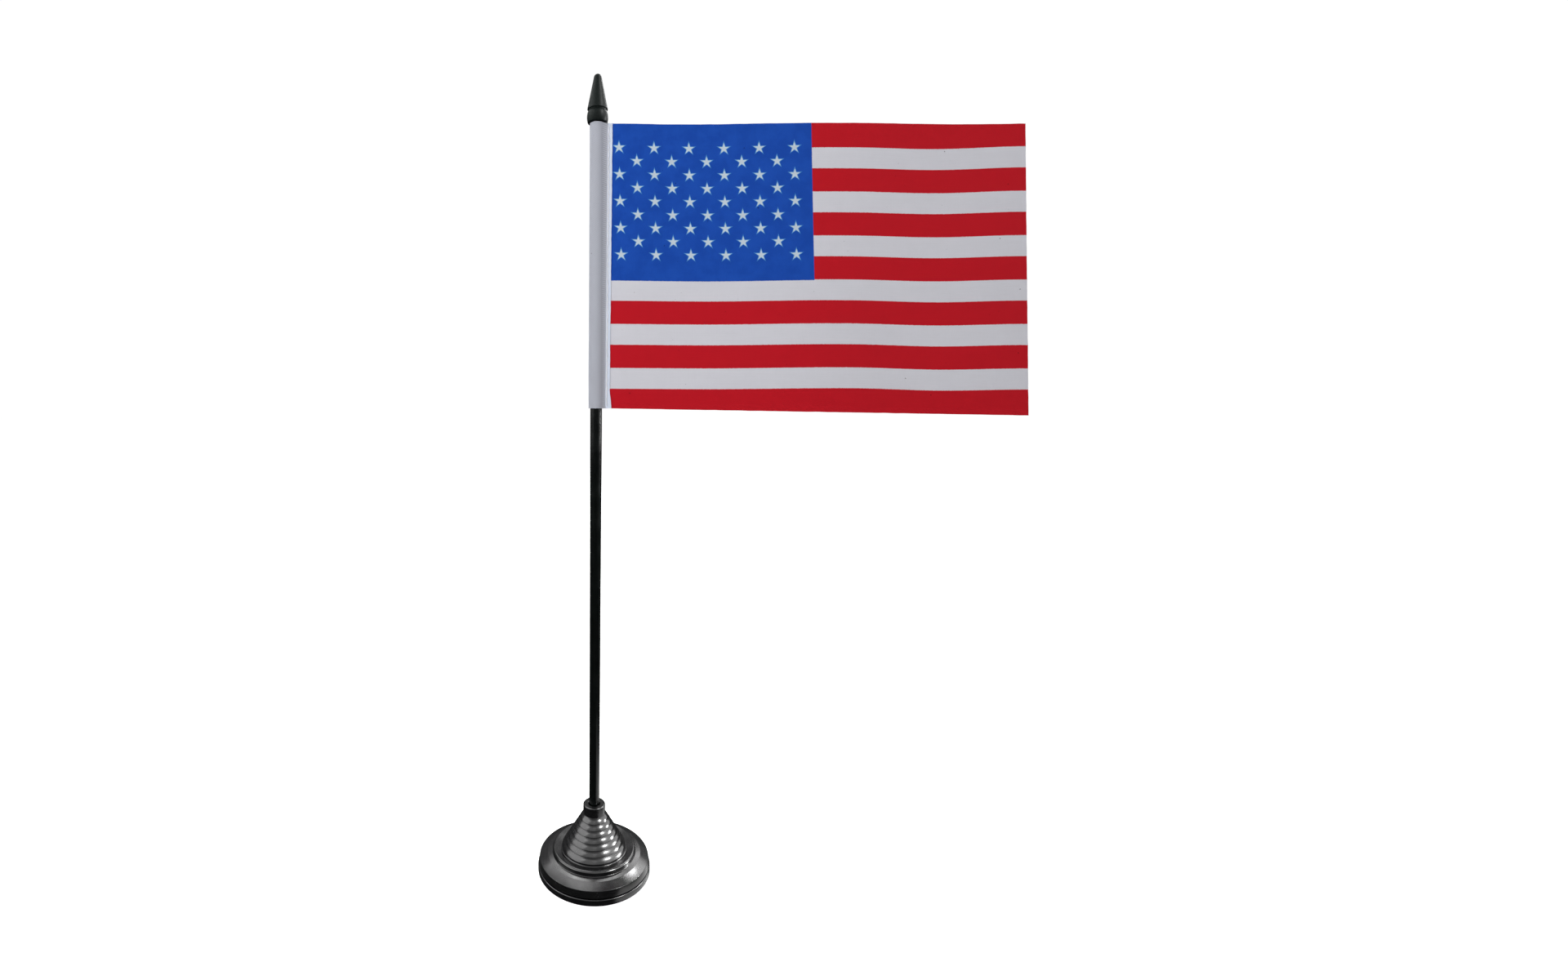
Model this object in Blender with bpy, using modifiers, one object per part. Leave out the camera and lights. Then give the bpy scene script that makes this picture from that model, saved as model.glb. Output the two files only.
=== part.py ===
"""Desk flag stand: a small printed flag sewn round a push-in staff on a stepped, weighted foot.

Metres, +Z up. The origin is the centre of the foot's underside, on the staff's axis. The flag
flies towards +X and its printed front faces -Y. Turned pieces come from profiles of (radius,
height) points that run down their outer side; the cloth is a folded sheet with a thickness.
"""

import math

import bmesh
import bpy

COLLECTION_NAME = "desk_flag_stand"

# ---- Clearances
SEAT_GAP = 0.0003            # between a piece and what it rests on or is pushed against
SOCKET_CLEARANCE = 0.0003    # round the staff at the mouth of the foot's socket
FINIAL_CLEARANCE = 0.0002    # round the staff's head inside the finial
SLEEVE_CLEARANCE = 0.00015   # round the staff inside the flag's sleeve
THREAD_CLEARANCE = 0.00008   # between a seam thread and the cloth

# ---- Foot: bottom plate
PLATE_RADIUS = 0.0196
PLATE_RIM_HEIGHT = 0.0020
PLATE_FLOOR = 0.0012
PLATE_EDGE_RADIUS = 0.00025
SPIGOT_WALL = 0.0008

# ---- Foot: stepped shell
SHELL_WALL = 0.0012
SKIRT_INSET = 0.00025        # the skirt stands this far inside the plate's rim
SKIRT_DRAFT = 0.0003
SKIRT_HEIGHT = 0.00225
SKIRT_WALL = 0.0012
BEVEL_WIDTH = 0.0028
BEVEL_RISE = 0.00117
BEVEL_EDGE_RADIUS = 0.00012
LEDGE_WIDTH = 0.0018
BEAD_WIDTH = 0.0034          # from the bead's side to the lowest ring
BEAD_RISE = 0.00185
BEAD_DISH = 0.0006           # the bead's top falls this much from its crest to the lowest ring
BEAD_EDGE_RADIUS = 0.0010
BEAD_FILLET = 0.0004
LOWEST_RING_RISE = 0.00085
CONE_TOP_RADIUS = 0.0039
CONE_SLOPE = 0.636           # radius gained for each unit of height lost
RING_COUNT = 7
RING_BULGE = 0.00012
RING_LIP = 0.0002
RING_STEPS = 4
COLLAR_WALL = 0.00177
COLLAR_HEIGHT = 0.0032
COLLAR_EDGE_RADIUS = 0.00035
BOSS_WALL = 0.0012
SOCKET_FLOOR_WALL = 0.0010

# ---- Staff
POLE_LENGTH = 0.2660
POLE_FOOT_RADIUS = 0.00175
POLE_HEAD_RADIUS = 0.0023
POLE_EDGE_RADIUS = 0.0003

# ---- Finial
FINIAL_SOCKET_DEPTH = 0.0070
BARREL_RADIUS = 0.00375
BARREL_HEIGHT = 0.0039
BARREL_BULGE = 0.00035
BARREL_FULLNESS = 0.6        # below 1 the barrel's side is flatter than a sine
GROOVE_DEPTH = 0.00036
GROOVE_HEIGHT = 0.0006
GROOVE_FLOOR = 0.00024       # the groove is deepest this far above the barrel
SHOULDER_RADIUS = 0.00363
SHOULDER_EDGE_RADIUS = 0.0004
SHOULDER_UNDERCUT = -70      # degrees that the shoulder's edge turns under
SPEAR_LENGTH = 0.0129
TIP_RADIUS = 0.00142

# ---- Flag
FABRIC_THICKNESS = 0.0002
HOIST_HEIGHT = 0.1003
FLY_DROP = 0.0023            # the lower edge is cut this much lower at the fly
FLY_REACH = 0.1525           # from the staff's axis to the fly edge
SEAM_REACH = 0.0043          # from the staff's axis to the row of stitches
FLAP_WIDTH = 0.0014          # cloth beyond the stitches, on the front
FOLD_GAP = 0.0001            # between the two layers of the seam
WAVE_DEPTH = 0.0009
WAVE_COUNT = 1.6
THREAD_RADIUS = 0.00013
STITCH_LENGTH = 0.0028
STITCH_SWAY = 0.00008

# ---- Mesh fineness
FOOT_SEGMENTS = 48
FINIAL_SEGMENTS = 32
POLE_SEGMENTS = 24
EDGE_STEPS = 3
TIP_STEPS = 5
BARREL_STEPS = 8
FOLD_STEPS = 14
FIELD_STEPS = 36
SHARP_ANGLE = math.radians(35)
MERGE_DISTANCE = 0.00001

# ---- Heights and radii that follow from the sizes above
SKIRT_BOTTOM_Z = PLATE_RIM_HEIGHT + SEAT_GAP
SKIRT_FOOT_RADIUS = PLATE_RADIUS - SKIRT_INSET
SKIRT_INNER_RADIUS = SKIRT_FOOT_RADIUS - SKIRT_WALL
BEVEL_FOOT_RADIUS = SKIRT_FOOT_RADIUS - SKIRT_DRAFT
BEVEL_FOOT_Z = SKIRT_BOTTOM_Z + SKIRT_HEIGHT
BEVEL_HEAD_RADIUS = BEVEL_FOOT_RADIUS - BEVEL_WIDTH
LEDGE_Z = BEVEL_FOOT_Z + BEVEL_RISE
BEVEL_RISE_AT_SKIRT = BEVEL_RISE * (BEVEL_FOOT_RADIUS - SKIRT_INNER_RADIUS) / BEVEL_WIDTH
SKIRT_ROOF_Z = BEVEL_FOOT_Z + BEVEL_RISE_AT_SKIRT - SHELL_WALL
BEAD_OUTER_RADIUS = BEVEL_HEAD_RADIUS - LEDGE_WIDTH
BEAD_Z = LEDGE_Z + BEAD_RISE
DISH_Z = BEAD_Z - BEAD_DISH
CONE_FOOT_RADIUS = BEAD_OUTER_RADIUS - BEAD_WIDTH
CONE_FOOT_Z = DISH_Z + LOWEST_RING_RISE
CONE_HEIGHT = (CONE_FOOT_RADIUS - CONE_TOP_RADIUS) / CONE_SLOPE
CONE_TOP_Z = CONE_FOOT_Z + CONE_HEIGHT
COLLAR_TOP_Z = CONE_TOP_Z + COLLAR_HEIGHT

POLE_GROWTH = (POLE_HEAD_RADIUS - POLE_FOOT_RADIUS) / POLE_LENGTH
BOSS_BOTTOM_Z = PLATE_FLOOR + SEAT_GAP
SOCKET_FLOOR_Z = BOSS_BOTTOM_Z + SOCKET_FLOOR_WALL
POLE_FOOT_Z = SOCKET_FLOOR_Z + SEAT_GAP
POLE_HEAD_Z = POLE_FOOT_Z + POLE_LENGTH
POLE_RADIUS_AT_COLLAR = POLE_FOOT_RADIUS + POLE_GROWTH * (COLLAR_TOP_Z - POLE_FOOT_Z)
SOCKET_RADIUS = POLE_RADIUS_AT_COLLAR + SOCKET_CLEARANCE
BOSS_RADIUS = SOCKET_RADIUS + BOSS_WALL
COLLAR_RADIUS = SOCKET_RADIUS + COLLAR_WALL

FINIAL_Z = POLE_HEAD_Z + SEAT_GAP - FINIAL_SOCKET_DEPTH
FLAG_TOP_Z = FINIAL_Z - SEAT_GAP
FLAG_BOTTOM_Z = FLAG_TOP_Z - HOIST_HEIGHT


def arc(centre, radius, start_degrees, end_degrees, steps):
    """Points on an arc in the profile plane; angles run from outward (0) to upward (90)."""
    points = []
    for step in range(steps + 1):
        angle = math.radians(start_degrees + (end_degrees - start_degrees) * step / steps)
        points.append((centre[0] + radius * math.cos(angle), centre[1] + radius * math.sin(angle)))
    return points


def new_material(name, colour, roughness, metallic=0.0):
    """A Principled BSDF of one colour."""
    material = bpy.data.materials.new(name)
    material.use_nodes = True
    shader = material.node_tree.nodes["Principled BSDF"]
    shader.inputs["Base Color"].default_value = (*colour, 1.0)
    shader.inputs["Roughness"].default_value = roughness
    shader.inputs["Metallic"].default_value = metallic
    return material


def new_object(name, data, material, height, root, collection):
    """Put a piece in the collection, with its origin on the staff's axis at the given height."""
    obj = bpy.data.objects.new(name, data)
    collection.objects.link(obj)
    obj.parent = root
    obj.location = (0.0, 0.0, height)
    obj.data.materials.append(material)
    return obj


def bake_modifiers(obj):
    """Swap the object's data for its evaluated mesh and shade it smooth."""
    depsgraph = bpy.context.evaluated_depsgraph_get()
    mesh = bpy.data.meshes.new_from_object(obj.evaluated_get(depsgraph))
    obj.modifiers.clear()
    obj.data = mesh
    mesh.shade_smooth()
    mesh.set_sharp_from_angle(angle=SHARP_ANGLE)


def turned_piece(name, profile, segments, material, height, root, collection):
    """Turn a profile of (radius, height) points about the Z axis; a last point on the first closes it."""
    closed = profile[0] == profile[-1]
    points = profile[:-1] if closed else profile
    edges = [(index, index + 1) for index in range(len(points) - 1)]
    if closed:
        edges.append((len(points) - 1, 0))
    mesh = bpy.data.meshes.new(name)
    mesh.from_pydata([(radius, 0.0, z) for radius, z in points], edges, [])
    obj = new_object(name, mesh, material, height, root, collection)
    screw = obj.modifiers.new("turn", "SCREW")
    screw.axis = "Z"
    screw.angle = math.tau
    screw.steps = segments
    screw.render_steps = segments
    screw.use_merge_vertices = True
    screw.merge_threshold = MERGE_DISTANCE
    screw.use_smooth_shade = True
    bpy.context.view_layer.update()
    bake_modifiers(obj)
    return obj


def ring_profile():
    """The cone's rings from the collar down; each swells out and ends in a small lip."""
    slant = math.hypot(CONE_SLOPE, 1.0)
    normal = (1.0 / slant, CONE_SLOPE / slant)
    points = []
    for ring in range(RING_COUNT):
        for step in range(RING_STEPS + 1):
            share = step / RING_STEPS
            run = (ring + share) / RING_COUNT
            out = RING_LIP * share + RING_BULGE * math.sin(math.pi * share)
            radius = CONE_TOP_RADIUS + run * CONE_HEIGHT * CONE_SLOPE + out * normal[0]
            points.append((radius, CONE_TOP_Z - run * CONE_HEIGHT + out * normal[1]))
    return points


def make_base_shell(material, root, collection):
    """The moulded shell: collar and socket, ringed cone, bead, ledge, bevel and skirt."""
    collar_edge = (COLLAR_RADIUS - COLLAR_EDGE_RADIUS, COLLAR_TOP_Z - COLLAR_EDGE_RADIUS)
    bead_fillet = (CONE_FOOT_RADIUS + BEAD_FILLET, DISH_Z + BEAD_FILLET)
    bead_edge = (BEAD_OUTER_RADIUS - BEAD_EDGE_RADIUS, BEAD_Z - BEAD_EDGE_RADIUS)
    dish_tilt = math.degrees(math.atan2(BEAD_DISH, BEAD_WIDTH - BEAD_EDGE_RADIUS))
    bevel_edge = (BEVEL_FOOT_RADIUS - BEVEL_EDGE_RADIUS, BEVEL_FOOT_Z - BEVEL_EDGE_RADIUS)
    bevel_tilt = math.degrees(math.atan2(BEVEL_RISE, BEVEL_WIDTH))
    profile = [(0.0, SOCKET_FLOOR_Z), (SOCKET_RADIUS, SOCKET_FLOOR_Z), (SOCKET_RADIUS, COLLAR_TOP_Z)]
    profile += arc(collar_edge, COLLAR_EDGE_RADIUS, 90, 0, EDGE_STEPS)
    profile += [(COLLAR_RADIUS, CONE_TOP_Z)]
    profile += ring_profile()
    profile += arc(bead_fillet, BEAD_FILLET, 180, 270.0 + dish_tilt, EDGE_STEPS)
    profile += arc(bead_edge, BEAD_EDGE_RADIUS, 90.0 + dish_tilt, 0, EDGE_STEPS)
    profile += [(BEAD_OUTER_RADIUS, LEDGE_Z), (BEVEL_HEAD_RADIUS, LEDGE_Z)]
    profile += arc(bevel_edge, BEVEL_EDGE_RADIUS, 90.0 - bevel_tilt, 0, EDGE_STEPS)
    profile += [(SKIRT_FOOT_RADIUS, SKIRT_BOTTOM_Z), (SKIRT_INNER_RADIUS, SKIRT_BOTTOM_Z)]

    # Inside, one wall below the outer steps, then down the boss that holds the socket.
    wall_along_radius = SHELL_WALL * math.hypot(CONE_SLOPE, 1.0)
    roof_z = LEDGE_Z - SHELL_WALL
    bead_roof_z = DISH_Z - SHELL_WALL
    cone_foot = CONE_FOOT_RADIUS - wall_along_radius + CONE_SLOPE * (CONE_FOOT_Z - bead_roof_z)
    boss_meet_z = bead_roof_z + (cone_foot - BOSS_RADIUS) / CONE_SLOPE
    profile += [(SKIRT_INNER_RADIUS, SKIRT_ROOF_Z), (BEVEL_HEAD_RADIUS, roof_z)]
    profile += [(BEAD_OUTER_RADIUS - SHELL_WALL, roof_z), (BEAD_OUTER_RADIUS - SHELL_WALL, bead_roof_z)]
    profile += [(cone_foot, bead_roof_z), (BOSS_RADIUS, boss_meet_z), (BOSS_RADIUS, BOSS_BOTTOM_Z)]
    profile += [(0.0, BOSS_BOTTOM_Z)]
    return turned_piece("base_shell", profile, FOOT_SEGMENTS, material, 0.0, root, collection)


def make_base_plate(material, root, collection):
    """The bottom cover: a flat floor, a rim below the skirt and a spigot inside it."""
    spigot_outer = SKIRT_INNER_RADIUS - SEAT_GAP
    spigot_top = SKIRT_ROOF_Z - SEAT_GAP
    top_edge = (PLATE_RADIUS - PLATE_EDGE_RADIUS, PLATE_RIM_HEIGHT - PLATE_EDGE_RADIUS)
    bottom_edge = (PLATE_RADIUS - PLATE_EDGE_RADIUS, PLATE_EDGE_RADIUS)
    profile = [(0.0, PLATE_FLOOR), (spigot_outer - SPIGOT_WALL, PLATE_FLOOR)]
    profile += [(spigot_outer - SPIGOT_WALL, spigot_top), (spigot_outer, spigot_top)]
    profile += [(spigot_outer, PLATE_RIM_HEIGHT)]
    profile += arc(top_edge, PLATE_EDGE_RADIUS, 90, 0, EDGE_STEPS)
    profile += arc(bottom_edge, PLATE_EDGE_RADIUS, 0, -90, EDGE_STEPS)
    profile += [(0.0, 0.0)]
    return turned_piece("base_plate", profile, FOOT_SEGMENTS, material, 0.0, root, collection)


def make_base_weight(material, root, collection):
    """The steel ring that fills the foot between the plate's floor and the shell's roof."""
    inner = BOSS_RADIUS + SEAT_GAP
    outer = BEAD_OUTER_RADIUS - SHELL_WALL - 2.0 * SEAT_GAP
    bottom = PLATE_FLOOR + SEAT_GAP
    top = DISH_Z - SHELL_WALL - SEAT_GAP
    profile = [(inner, bottom), (inner, top), (outer, top), (outer, bottom), (inner, bottom)]
    return turned_piece("base_weight", profile, FOOT_SEGMENTS, material, 0.0, root, collection)


def make_pole(material, root, collection):
    """The moulded staff, a little thicker at its head, with rounded ends."""
    profile = [(0.0, POLE_LENGTH)]
    head = (POLE_HEAD_RADIUS - POLE_EDGE_RADIUS, POLE_LENGTH - POLE_EDGE_RADIUS)
    foot = (POLE_FOOT_RADIUS - POLE_EDGE_RADIUS, POLE_EDGE_RADIUS)
    profile += arc(head, POLE_EDGE_RADIUS, 90, 0, EDGE_STEPS)
    profile += arc(foot, POLE_EDGE_RADIUS, 0, -90, EDGE_STEPS)
    profile += [(0.0, 0.0)]
    return turned_piece("pole", profile, POLE_SEGMENTS, material, POLE_FOOT_Z, root, collection)


def make_finial(material, root, collection):
    """The push-on spear: a socket in a swelling barrel, a groove, a shoulder and a round tip."""
    bore = POLE_HEAD_RADIUS + FINIAL_CLEARANCE
    shoulder_z = BARREL_HEIGHT + GROOVE_HEIGHT + SHOULDER_EDGE_RADIUS
    tip_z = BARREL_HEIGHT + GROOVE_HEIGHT + SPEAR_LENGTH - TIP_RADIUS
    lean = math.degrees(math.atan2(SHOULDER_RADIUS - TIP_RADIUS, tip_z - shoulder_z))
    shoulder = (SHOULDER_RADIUS - SHOULDER_EDGE_RADIUS, shoulder_z)
    profile = arc((0.0, tip_z), TIP_RADIUS, 90, lean, TIP_STEPS)
    profile += arc(shoulder, SHOULDER_EDGE_RADIUS, lean, SHOULDER_UNDERCUT, EDGE_STEPS)
    profile += [(SHOULDER_RADIUS - GROOVE_DEPTH, BARREL_HEIGHT + GROOVE_FLOOR)]
    for step in range(BARREL_STEPS + 1):
        share = 1.0 - step / BARREL_STEPS
        swell = math.sin(math.pi * share) ** BARREL_FULLNESS
        profile.append((BARREL_RADIUS - BARREL_BULGE * (1.0 - swell), BARREL_HEIGHT * share))
    profile += [(bore, 0.0), (bore, FINIAL_SOCKET_DEPTH), (0.0, FINIAL_SOCKET_DEPTH)]
    return turned_piece("finial", profile, FINIAL_SEGMENTS, material, FINIAL_Z, root, collection)


def flag_path():
    """The cloth's middle line seen from above, from the flap's raw edge round to the fly."""
    half_fold = 0.5 * (FABRIC_THICKNESS + FOLD_GAP)
    loop = POLE_HEAD_RADIUS + SLEEVE_CLEARANCE + 0.5 * FABRIC_THICKNESS
    seam_half = 0.5 * FLAP_WIDTH
    touch = math.acos(loop / (SEAM_REACH - seam_half))
    path = [(SEAM_REACH + FLAP_WIDTH, -half_fold), (SEAM_REACH, -half_fold)]
    path += [(SEAM_REACH - seam_half, -half_fold)]
    for step in range(FOLD_STEPS + 1):
        angle = -touch - (math.tau - 2.0 * touch) * step / FOLD_STEPS
        path.append((loop * math.cos(angle), loop * math.sin(angle)))
    path += [(SEAM_REACH - seam_half, half_fold)]
    for step in range(FIELD_STEPS + 1):
        share = step / FIELD_STEPS
        wave = WAVE_DEPTH * math.sin(math.tau * WAVE_COUNT * share) * share
        path.append((SEAM_REACH + (FLY_REACH - SEAM_REACH) * share, half_fold + wave))
    return path


def make_flag_cloth(material, root, collection):
    """One sheet: its hoist edge is folded round the staff and its lower edge falls to the fly."""
    path = flag_path()
    sheet = bmesh.new()
    vertices = [sheet.verts.new((x, y, HOIST_HEIGHT)) for x, y in path]
    edges = [sheet.edges.new(pair) for pair in zip(vertices, vertices[1:])]
    lower = bmesh.ops.extrude_edge_only(sheet, edges=edges)["geom"]
    field_length = FLY_REACH - SEAM_REACH
    for vertex in lower:
        if isinstance(vertex, bmesh.types.BMVert):
            beyond_seam = max(0.0, vertex.co.x - SEAM_REACH - FLAP_WIDTH)
            vertex.co.z = -FLY_DROP * beyond_seam / field_length
    bmesh.ops.recalc_face_normals(sheet, faces=sheet.faces)
    mesh = bpy.data.meshes.new("flag_cloth")
    sheet.to_mesh(mesh)
    sheet.free()
    obj = new_object("flag_cloth", mesh, material, FLAG_BOTTOM_Z, root, collection)
    solidify = obj.modifiers.new("thickness", "SOLIDIFY")
    solidify.thickness = FABRIC_THICKNESS
    solidify.offset = 0.0
    solidify.use_even_offset = True
    bpy.context.view_layer.update()
    bake_modifiers(obj)
    return obj


def make_seam_thread(name, side, material, root, collection):
    """One thread of the seam, on the front (side -1) or the back (side 1) of the two layers."""
    lift = 0.5 * FOLD_GAP + FABRIC_THICKNESS + THREAD_CLEARANCE + THREAD_RADIUS
    stitches = int(HOIST_HEIGHT / STITCH_LENGTH)
    margin = 0.5 * (HOIST_HEIGHT - stitches * STITCH_LENGTH)
    curve = bpy.data.curves.new(name, "CURVE")
    curve.dimensions = "3D"
    curve.bevel_depth = THREAD_RADIUS
    curve.bevel_resolution = 1
    curve.use_fill_caps = True
    spline = curve.splines.new("POLY")
    count = 2 * stitches + 1
    spline.points.add(count - 1)
    for index, point in enumerate(spline.points):
        sway = STITCH_SWAY * (1.0 if index % 4 == 1 else -1.0 if index % 4 == 3 else 0.0)
        height = margin + 0.5 * index * STITCH_LENGTH
        point.co = (SEAM_REACH + sway, side * lift, height, 1.0)
    obj = new_object(name, curve, material, FLAG_BOTTOM_Z, root, collection)
    bpy.context.view_layer.update()
    depsgraph = bpy.context.evaluated_depsgraph_get()
    mesh = bpy.data.meshes.new_from_object(obj.evaluated_get(depsgraph))
    bpy.data.objects.remove(obj)
    welded = bmesh.new()
    welded.from_mesh(mesh)
    bmesh.ops.remove_doubles(welded, verts=welded.verts, dist=MERGE_DISTANCE)
    welded.to_mesh(mesh)
    welded.free()
    mesh.materials.clear()
    return new_object(name, mesh, material, FLAG_BOTTOM_Z, root, collection)


def main():
    for obj in list(bpy.data.objects):
        bpy.data.objects.remove(obj)
    collection = bpy.data.collections.new(COLLECTION_NAME)
    bpy.context.scene.collection.children.link(collection)
    root = bpy.data.objects.new("stand_origin", None)
    collection.objects.link(root)

    foot_plastic = new_material("foot_plastic", (0.012, 0.012, 0.014), 0.18)
    plate_plastic = new_material("plate_plastic", (0.010, 0.010, 0.012), 0.22)
    weight_steel = new_material("weight_steel", (0.35, 0.35, 0.36), 0.45, 1.0)
    pole_plastic = new_material("pole_plastic", (0.008, 0.010, 0.010), 0.25)
    finial_plastic = new_material("finial_plastic", (0.012, 0.015, 0.014), 0.35)
    cloth = new_material("printed_cloth", (0.55, 0.56, 0.60), 0.85)
    front_thread = new_material("front_thread", (0.80, 0.80, 0.84), 0.6)
    back_thread = new_material("back_thread", (0.72, 0.72, 0.76), 0.6)

    make_base_shell(foot_plastic, root, collection)
    make_base_plate(plate_plastic, root, collection)
    make_base_weight(weight_steel, root, collection)
    make_pole(pole_plastic, root, collection)
    make_finial(finial_plastic, root, collection)
    make_flag_cloth(cloth, root, collection)
    make_seam_thread("needle_thread", -1.0, front_thread, root, collection)
    make_seam_thread("bobbin_thread", 1.0, back_thread, root, collection)


main()
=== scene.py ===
"""Looks of the desk flag stand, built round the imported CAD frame.

Metres, +Z up, in the frame's own axes: the staff stands on the Z axis, the flag flies towards +X
and its printed front faces -Y. The plastic pieces are finer turnings of the CAD's profiles, the
flag is one folded sheet with a procedural print, and the seam's threads are twisted stitches.
"""

import math

import bpy
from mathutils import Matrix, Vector, noise


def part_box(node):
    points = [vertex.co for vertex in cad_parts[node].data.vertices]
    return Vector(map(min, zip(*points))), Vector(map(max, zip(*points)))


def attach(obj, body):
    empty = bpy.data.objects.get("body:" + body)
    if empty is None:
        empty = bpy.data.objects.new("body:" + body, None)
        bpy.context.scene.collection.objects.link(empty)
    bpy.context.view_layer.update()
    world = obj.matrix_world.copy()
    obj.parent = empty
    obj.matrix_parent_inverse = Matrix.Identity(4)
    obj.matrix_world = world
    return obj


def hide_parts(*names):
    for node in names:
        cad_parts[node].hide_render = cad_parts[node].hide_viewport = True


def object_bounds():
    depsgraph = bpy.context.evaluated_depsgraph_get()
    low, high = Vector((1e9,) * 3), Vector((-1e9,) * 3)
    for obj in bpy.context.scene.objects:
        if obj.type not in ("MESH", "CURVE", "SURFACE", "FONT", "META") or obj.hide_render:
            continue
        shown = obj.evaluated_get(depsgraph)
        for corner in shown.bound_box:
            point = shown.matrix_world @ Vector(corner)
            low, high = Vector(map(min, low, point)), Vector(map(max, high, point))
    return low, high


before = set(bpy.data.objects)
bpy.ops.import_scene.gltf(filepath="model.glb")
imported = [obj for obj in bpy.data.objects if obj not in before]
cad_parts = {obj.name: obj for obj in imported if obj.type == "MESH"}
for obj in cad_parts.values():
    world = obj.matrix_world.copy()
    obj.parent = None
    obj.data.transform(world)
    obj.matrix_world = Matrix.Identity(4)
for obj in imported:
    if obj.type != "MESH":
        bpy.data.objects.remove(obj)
cad_low, cad_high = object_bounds()

# ---- Camera, straight in front of the staff
CAMERA_PLACE = (-0.0020, -0.2405, 0.1630)
CAMERA_LENS = 15.645               # millimetres, on Blender's 36 mm sensor
CAMERA_ROLL = math.radians(-0.28)
CAMERA_SHIFT_X = 0.1234
CAMERA_SHIFT_Y = -0.0548

# ---- Lights
FOOT_AIM = (0.0, 0.0, 0.01)
FLAG_AIM = (0.03, 0.0, 0.21)
PANEL_DISTANCE = 2.0
FLOOR_HALF = 6.0
FLOOR_WHITE = (0.86, 0.86, 0.86)
FLOOR_GLOW = 0.80                  # lifts the floor to the background's white
BACKDROP_STRENGTH = 1.02           # the world as the camera sees it,
GLOSS_STRENGTH = 0.26              # as the gloss sees it,
SKY_HEIGHTS = (-0.1, 0.9)          # and as the cloth sees it, from this height of the sky to that
SKY_STRENGTHS = (0.05, 0.55)

# ---- Foot: bottom plate
SEAT_GAP = 0.0003
PLATE_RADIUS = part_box("base_plate")[1].x
PLATE_RIM_HEIGHT = 0.0020
PLATE_FLOOR = 0.0012
PLATE_EDGE_RADIUS = 0.00025
SPIGOT_WALL = 0.0008

# ---- Foot: stepped shell
SHELL_WALL = 0.0012
SKIRT_INSET = 0.00025
SKIRT_DRAFT = 0.0003
SKIRT_HEIGHT = 0.00225
SKIRT_WALL = 0.0012
BEVEL_WIDTH = 0.0028
BEVEL_RISE = 0.00117
BEVEL_EDGE_RADIUS = 0.00012
LEDGE_WIDTH = 0.0018
LEDGE_FALL = 0.0003                # the ledge drains outwards by this much
LEDGE_FILLET = 0.0002
BEAD_WIDTH = 0.0034
BEAD_RISE = 0.00185
BEAD_DISH = 0.0006
BEAD_EDGE_RADIUS = 0.0010
BEAD_FILLET = 0.0004
LOWEST_RING_RISE = 0.00085
CONE_TOP_RADIUS = 0.0039
CONE_SLOPE = 0.636
RING_COUNT = 7
RING_BULGE = 0.00012
RING_LIP = 0.0002
RING_LIP_ROUNDING = 0.00006
RING_STEPS = 14
COLLAR_WALL = 0.00177
COLLAR_HEIGHT = 0.0032
COLLAR_EDGE_RADIUS = 0.00035
SOCKET_CLEARANCE = 0.0003
SOCKET_FLOOR_WALL = 0.0010
BOSS_WALL = 0.0012

# ---- Staff
POLE_LENGTH = 0.2660
POLE_FOOT_RADIUS = 0.00175
POLE_HEAD_RADIUS = 0.0023
POLE_EDGE_RADIUS = 0.0003

# ---- Finial
FINIAL_SOCKET_DEPTH = 0.0070
FINIAL_CLEARANCE = 0.0002
BARREL_RADIUS = 0.00375
BARREL_HEIGHT = 0.0039
BARREL_BULGE = 0.00035
BARREL_FULLNESS = 0.6
GROOVE_DEPTH = 0.00036
GROOVE_HEIGHT = 0.0006
GROOVE_FLOOR = 0.00024
SHOULDER_RADIUS = 0.00363
SHOULDER_EDGE_RADIUS = 0.0004
SHOULDER_UNDERCUT = -70            # degrees
SPEAR_LENGTH = 0.0129
TIP_RADIUS = 0.00142

# ---- Flag: the sheet
FABRIC_THICKNESS = 0.0002
HOIST_HEIGHT = 0.1003
SLEEVE_CLEARANCE = 0.00015
SEAM_REACH_TOP = 0.0040            # from the staff's axis to the row of stitches
SEAM_REACH_BOTTOM = 0.0036
SEAM_WIDTH = 0.0008                # the folded layers lie flat for this much inside the stitches
SEAM_FORWARD = 0.0007              # the seam sits this far in front of the flag's plane
SEAM_SETTLE = 0.022                # and the field comes back to the plane over this reach
FOLD_GAP = 0.0001                  # between the two layers of the seam
FLAP_WIDTH_TOP = 0.0013            # cloth beyond the stitches, on the front
FLAP_WIDTH_BOTTOM = 0.0011
FLAP_FLARE = 0.0006                # the flap's lowest corner kicks out this much
FLAP_FLARE_HEIGHT = 0.0070
FLAP_LIFT = 0.00012                # the flap's raw edge stands off the field
FRAY_COARSE = 0.00009              # and strays by these two amounts
FRAY_FINE = 0.00006
PINCH_SHARE = 0.4                  # of the fold's gap, taken up at each needle hole
DIMPLE_SHARE = 0.2                 # of a stitch, on each side of its hole
LOOP_SLACK = 0.00005               # the sleeve stands off its tightest wrap
LOOP_WANDER = 0.00009
FLY_REACH_TOP = 0.1516
FLY_REACH_BOTTOM = 0.1529
FLY_RISE = 0.0013                  # the upper edge is cut this much higher at the fly
FLY_DROP = 0.0018                  # and the lower edge this much lower
WAVE_DEPTH = 0.0010
WAVE_COUNT = 1.6
WAVE_SLANT = 3.0                   # how fast the waves' phase changes down the hoist
RIPPLE_DEPTH = 0.00045
RIPPLE_ACROSS = 26.0               # ripples per metre towards the fly
RIPPLE_DOWN = 14.0                 # and down the hoist
FLY_CURL = 0.0012                  # the fly's edge curls back this much
FLY_CURL_START = 0.1150
EDGE_WANDER = 0.00008
FIELD_COLUMNS = 150
FLAP_COLUMNS = 7
LOOP_COLUMNS = 56
SEAM_COLUMNS = 6
SHEET_ROWS = 168

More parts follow.
